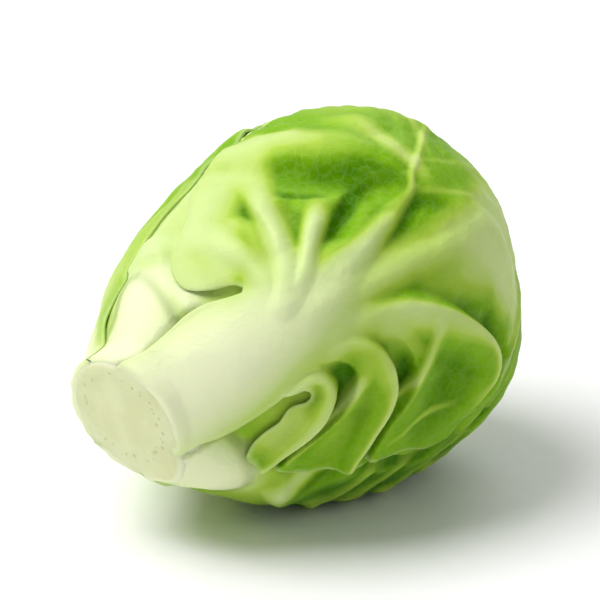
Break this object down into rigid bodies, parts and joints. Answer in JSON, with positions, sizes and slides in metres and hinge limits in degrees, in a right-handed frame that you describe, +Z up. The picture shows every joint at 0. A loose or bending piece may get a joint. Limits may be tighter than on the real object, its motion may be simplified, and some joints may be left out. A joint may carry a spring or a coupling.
{
  "type": "brussels sprout",
  "caption": "Loose Brussels sprout lying on its side: cut stem with broad pale stalks, veined and folded wrapper leaves, and a tight leafy heart.",
  "frame": {"origin": "middle of the footprint, on the surface that the sprout lies on", "axes": "+X from the cut stem to the crown, +Z up, +Y to the side away from the widest leaf"},
  "size_m": [0.0492, 0.0398, 0.0376],
  "materials": {
    "stem": "moist cut surface of a vegetable stem, ivory",
    "wrapper_leaf": "waxy leaf, bright green with pale ribs and ivory stalk",
    "inner_leaf": "waxy leaf, paler green",
    "heart": "packed young leaves, pale yellow-green"
  },
  "bodies": {
    "root": {"stem": "stem", "wrapper_leaf_1": "wrapper_leaf", "wrapper_leaf_2": "wrapper_leaf", "wrapper_leaf_3": "wrapper_leaf", "wrapper_leaf_4": "wrapper_leaf", "wrapper_leaf_5": "wrapper_leaf", "inner_leaf_1": "inner_leaf", "inner_leaf_2": "inner_leaf", "inner_leaf_3": "inner_leaf", "inner_leaf_4": "inner_leaf", "inner_leaf_5": "inner_leaf", "crown_leaf_1": "inner_leaf", "crown_leaf_2": "inner_leaf", "crown_leaf_3": "inner_leaf", "heart": "heart"}
  },
  "joints": []
}
